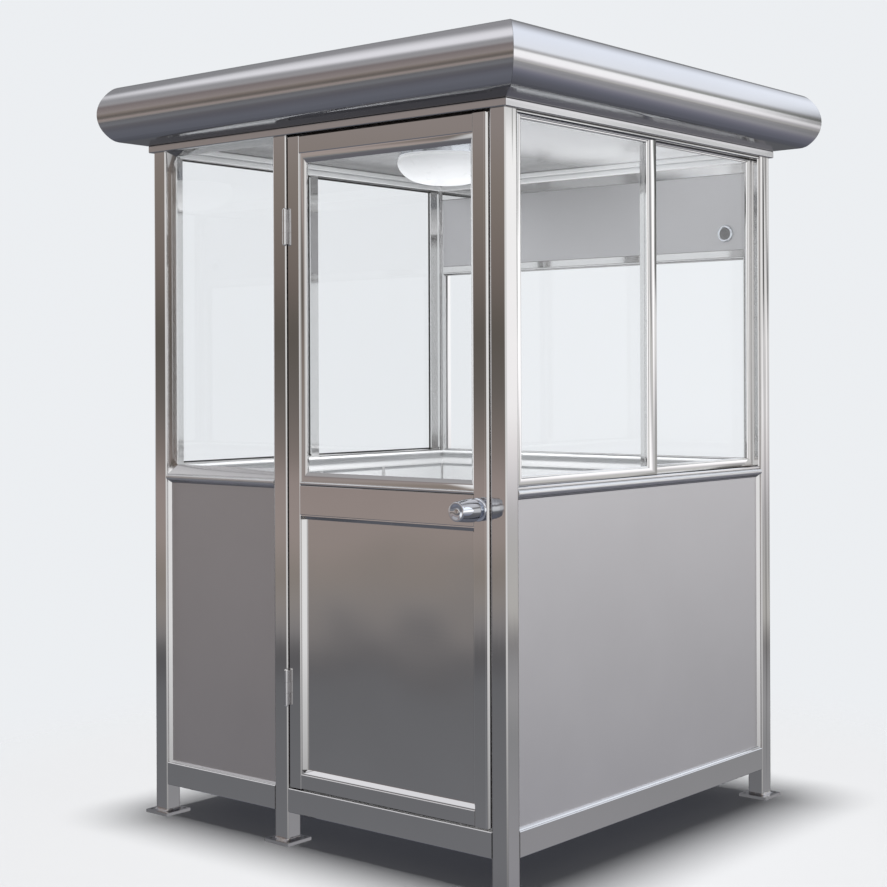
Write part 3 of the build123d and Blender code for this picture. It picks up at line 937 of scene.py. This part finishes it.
innerHead = {"low": 2.203, "high": 2.2412, "wall": 0.0562, "proud": 0.0100, "groove": 0.0025, "sink": 0.0055,
             "half": 0.686}


def innerHeads():
    # two soft-cornered ribs with a groove between them, carried along three walls
    h = innerHead
    wall, low, high = h["wall"], h["low"], h["high"]
    face = wall + h["proud"]
    sunk = face - h["sink"]
    under, over = ((low + high) / 2 + way * h["groove"] for way in (-1, 1))
    line = [(wall, low), (face, low), (face, under), (sunk, under), (sunk, over), (face, over), (face, high),
            (wall, high)]
    section = softened(line, 2, 0.12)
    grids = [alongWall(side, section, -h["half"], h["half"]) for side in ("rear", "left", "right")]
    makePiece("innerHeads", grids, "whiteLacquer")


innerHeads()
print("inner heads")


# Roof: rivets round the deck

rivet = {"level": 2.431, "line": 0.655, "count": 11, "radius": 0.004, "height": 0.0018}


def roofRivets():
    # flattened domes at even steps along four lines
    r = rivet
    dome = softened([(0, -0.0005), (r["radius"], -0.0005), (r["radius"], 0.0004),
                     (r["radius"] * 0.6, r["height"]), (0, r["height"])], 2)
    line = np.linspace(-r["line"], r["line"], r["count"])[:-1]
    edge = np.full_like(line, r["line"])
    spots = np.concatenate([np.stack(pair, -1) for pair in
                            ((line, -edge), (edge, line), (-line, edge), (-edge, -line))])
    grids = [turnedGrid(dome, np.array((x, y, r["level"])), (0, 0, 1), 12) for x, y in spots]
    makePiece("roofRivets", grids)


roofRivets()
print("roof rivets")


# Studio: a room whose far walls differ by direction, a small floor and the camera

studio = {
    "toRight": (0.63, 0.776, 0.0), "toCamera": (0.63, -0.776, 0.0), "toFlag": (0.0872, 0.9962, 0.0),
    "cameraShare": (0.55, 0.80), "behindShare": (-0.90, -0.96), "rightShare": (0.45, 0.75),
    "leftShare": (-0.35, -0.70), "leftNear": (-0.20, -0.09), "leftLift": 0.36,
    "beamRise": (0.125, 0.145), "beamFall": (0.215, 0.185), "beamNear": (-0.27, -0.31),
    "flagShare": (0.8988, 0.9205), "flagRise": (0.02, 0.05, 0.40, 0.90),
    "flag": (0.07, 0.068, 0.066), "behind": (0.17, 0.175, 0.19), "beam": (0.42, 0.44, 0.42),
    "pale": (0.84, 0.86, 0.885),
    "leftWall": [
        (-1.0, 0.21, 0.22, 0.26), (-0.62, 0.20, 0.21, 0.25), (-0.45, 0.15, 0.15, 0.175),
        (-0.34, 0.175, 0.172, 0.187), (-0.28, 0.24, 0.246, 0.266), (-0.20, 0.21, 0.215, 0.23),
        (-0.178, 0.20, 0.205, 0.22), (-0.168, 0.15, 0.148, 0.158), (-0.158, 0.16, 0.158, 0.165),
        (-0.150, 0.31, 0.30, 0.31), (-0.134, 0.39, 0.36, 0.345), (-0.117, 0.36, 0.32, 0.29),
        (-0.095, 0.46, 0.395, 0.37), (-0.063, 0.45, 0.38, 0.36), (-0.045, 0.31, 0.265, 0.245),
        (-0.01, 0.20, 0.18, 0.165), (0.026, 0.165, 0.148, 0.13), (0.06, 0.25, 0.21, 0.19),
        (0.115, 0.33, 0.285, 0.255), (0.15, 0.40, 0.35, 0.335), (0.36, 0.28, 0.24, 0.24),
        (0.43, 0.46, 0.45, 0.46), (0.53, 0.42, 0.42, 0.44), (0.57, 0.62, 0.62, 0.64),
        (0.62, 1.10, 1.10, 1.15), (0.76, 1.15, 1.15, 1.20), (0.84, 0.50, 0.50, 0.53),
        (1.0, 0.45, 0.45, 0.48)],
    "rightWall": [
        (-1.0, 0.15, 0.155, 0.18), (-0.60, 0.16, 0.165, 0.19), (-0.45, 0.20, 0.21, 0.26),
        (-0.36, 0.27, 0.27, 0.33), (-0.28, 0.42, 0.42, 0.45), (-0.21, 0.37, 0.375, 0.39),
        (-0.188, 0.455, 0.455, 0.47), (-0.168, 0.40, 0.40, 0.415), (-0.154, 0.32, 0.31, 0.315),
        (-0.140, 0.68, 0.67, 0.65), (-0.10, 0.68, 0.675, 0.67), (-0.08, 0.73, 0.72, 0.74),
        (-0.063, 0.93, 0.91, 0.94), (-0.045, 1.17, 1.14, 1.16), (-0.02, 1.40, 1.39, 1.41),
        (0.14, 1.42, 1.43, 1.44), (0.175, 0.60, 0.60, 0.61), (0.21, 0.60, 0.60, 0.61),
        (0.28, 1.15, 1.20, 1.28), (0.60, 1.15, 1.22, 1.35), (0.75, 1.10, 1.15, 1.28),
        (1.0, 0.60, 0.62, 0.68)],
    "backWall": [
        (-1.0, 0.21, 0.22, 0.26), (-0.60, 0.20, 0.21, 0.25), (-0.30, 0.165, 0.17, 0.185),
        (-0.12, 0.18, 0.18, 0.195), (-0.05, 0.60, 0.60, 0.62), (0.0, 1.0, 1.0, 1.02),
        (0.14, 1.1, 1.1, 1.13), (0.22, 0.38, 0.39, 0.41), (0.30, 0.25, 0.255, 0.27),
        (0.55, 0.29, 0.295, 0.31), (0.75, 0.40, 0.40, 0.42), (1.0, 0.45, 0.45, 0.48)],
    "cameraSide": [
        (-1.0, 0.10, 0.10, 0.12), (-0.30, 0.25, 0.25, 0.26), (-0.15, 0.95, 0.95, 0.96),
        (0.15, 1.1, 1.1, 1.1), (0.30, 0.20, 0.19, 0.19), (0.42, 0.9, 0.9, 0.92), (0.75, 1.1, 1.1, 1.15),
        (1.0, 0.6, 0.6, 0.65)],
    "softBox": [
        (-1.0, 0.03, 0.03, 0.03), (0.26, 0.03, 0.03, 0.03), (0.48, 0.10, 0.10, 0.103),
        (1.0, 0.10, 0.10, 0.103)],
}


def towards(tree, look, name):
    # how far a look goes along one of the studio's directions
    keys = {0: look, 1: studio[name]}
    return addNode(tree, "VectorMath", keys, operation="DOT_PRODUCT").outputs["Value"]


def eased(tree, value, name):
    return spread(tree, value, *studio[name], kind="SMOOTHSTEP")


def studioWorld():
    # each wall is a set of bands by height; the walls meet by horizontal direction shares; matt surfaces
    # are lit by a ring of soft boxes; the eye, also through glass, meets the plain pale backdrop
    s = studio
    world = bpy.data.worlds.new("studioWorld")
    bpy.context.scene.world = world
    world.use_nodes = True
    world.cycles.sampling_method = "NONE"
    tree = world.node_tree
    look = addNode(tree, "TexCoord").outputs["Generated"]
    height = addNode(tree, "SeparateXYZ", {0: look}).outputs["Z"]
    place = spread(tree, height, -1.0, 1.0)
    walls = {}
    for name in ("leftWall", "rightWall", "backWall", "cameraSide", "softBox"):
        walls[name] = ramp(tree, place, [((z + 1) / 2, color) for z, *color in s[name]])
    side, near = towards(tree, look, "toRight"), towards(tree, look, "toCamera")
    color = mixColor(tree, eased(tree, near, "cameraShare"), walls["backWall"], walls["cameraSide"])
    color = mixColor(tree, eased(tree, near, "behindShare"), color, (*s["behind"], 1))
    lift = times(tree, mathNode(tree, "MAXIMUM", height, 0.0), s["leftLift"])
    lifted = eased(tree, mathNode(tree, "ADD", near, lift), "leftNear")
    left = times(tree, eased(tree, side, "leftShare"), lifted)
    color = mixColor(tree, left, color, walls["leftWall"])
    right = eased(tree, side, "rightShare")
    color = mixColor(tree, right, color, walls["rightWall"])
    rise, fall = (spread(tree, height, *s[name]) for name in ("beamRise", "beamFall"))
    beam = times(tree, rise, fall)
    beam = times(tree, beam, spread(tree, near, *s["beamNear"]))
    color = mixColor(tree, times(tree, beam, right), color, (*s["beam"], 1))
    flag = eased(tree, towards(tree, look, "toFlag"), "flagShare")
    flag = times(tree, flag, spread(tree, height, *s["flagRise"]))
    color = mixColor(tree, flag, color, (*s["flag"], 1))
    path = addNode(tree, "LightPath")
    color = mixColor(tree, path.outputs["Is Diffuse Ray"], color, walls["softBox"])
    seen = mathNode(tree, "MAXIMUM", path.outputs["Is Camera Ray"], path.outputs["Is Transmission Ray"])
    color = mixColor(tree, seen, color, (*s["pale"], 1))
    tree.links.new(color, tree.nodes["Background"].inputs["Color"])


paleFloor = {"radius": 2.6, "fade": 1.35, "color": (0.55, 0.554, 0.562), "rough": 0.6, "specular": 0.2,
             "rings": 8, "spokes": 64}


def studioFloor():
    # a round floor, rings by spokes, that fades out to the pale room at its rim
    f = paleFloor
    rings = np.linspace(0.0, f["radius"], f["rings"] + 1)[:, None]
    turn = np.linspace(0.0, 2 * np.pi, f["spokes"] + 1)[None, :]
    x, y = rings * np.cos(turn), rings * np.sin(turn)
    verts = np.stack([x, y, 0 * x], -1).reshape(-1, 3)
    mesh = bpy.data.meshes.new("floor")
    mesh.from_pydata(verts.tolist(), [], gridFaces(*x.shape).tolist())
    floor = addObject("floor", mesh)
    mat, tree = newMaterial("paleFloor")
    far = addNode(tree, "VectorMath", {0: objectPlace(tree)}, operation="LENGTH").outputs["Value"]
    fade = spread(tree, far, f["fade"], f["radius"], 1.0, 0.0, "SMOOTHSTEP")
    finished(mat, (*f["color"], 1), f["rough"], {"Alpha": fade, "Specular IOR Level": f["specular"]})
    mesh.materials.append(mat)
    floor.visible_glossy = False


cameraView = {"place": (3.6299, -4.4684, 1.4625), "yaw": 39.892, "pitch": -0.119, "roll": -0.218,
              "lens": 68.21, "sensor": 36.0, "shift": -0.0716}


def studioCamera():
    # level at first, turned by yaw and pitch, then rolled about its own line of sight
    c = cameraView
    data = bpy.data.cameras.new("camera")
    data.sensor_width = c["sensor"]
    data.lens = c["lens"]
    data.shift_y = c["shift"]
    camera = addObject("camera", data)
    turn = Euler((math.radians(90 + c["pitch"]), 0, math.radians(c["yaw"]))).to_matrix().to_4x4()
    roll = Matrix.Rotation(math.radians(c["roll"]), 4, "Z")
    camera.matrix_world = Matrix.Translation(c["place"]) @ turn @ roll
    bpy.context.scene.camera = camera


highLamp = {"strength": 4.7, "angle": 9.0, "tilt": (0.0, -1.0)}


def overheadLamp():
    # one high lamp almost overhead, for the shadow under the booth
    data = bpy.data.lights.new("highLamp", "SUN")
    data.energy = highLamp["strength"]
    data.angle = math.radians(highLamp["angle"])
    obj = addObject("highLamp", data)
    tiltX, tiltY = (math.radians(a) for a in highLamp["tilt"])
    obj.matrix_world = Euler((tiltX, tiltY, 0.0)).to_matrix().to_4x4()
    obj.visible_glossy = False


cabinLamp = {"shadedUnderside": {"watts": 22.0, "size": 0.30, "place": (-0.052, -0.044, 2.10), "turn": 0.0},
             "up": {"watts": 11.0, "size": 0.90, "place": (0.05, 0.05, 1.25), "turn": math.pi}}


def lampGlow():
    # the ceiling lamp's own light on the cabin's linings and floor, and what these throw back up
    for name, c in cabinLamp.items():
        data = bpy.data.lights.new(name + "Glow", "AREA")
        data.shape = "DISK"
        data.size = c["size"]
        data.energy = c["watts"]
        obj = addObject(name + "Glow", data)
        obj.matrix_world = Matrix.Translation(c["place"]) @ Matrix.Rotation(c["turn"], 4, "X")
        obj.visible_glossy = False
        obj.visible_camera = False
        obj.visible_transmission = False


studioWorld()
studioFloor()
studioCamera()
overheadLamp()
lampGlow()
bpy.context.scene.view_settings.view_transform = "Standard"
print("studio ready")
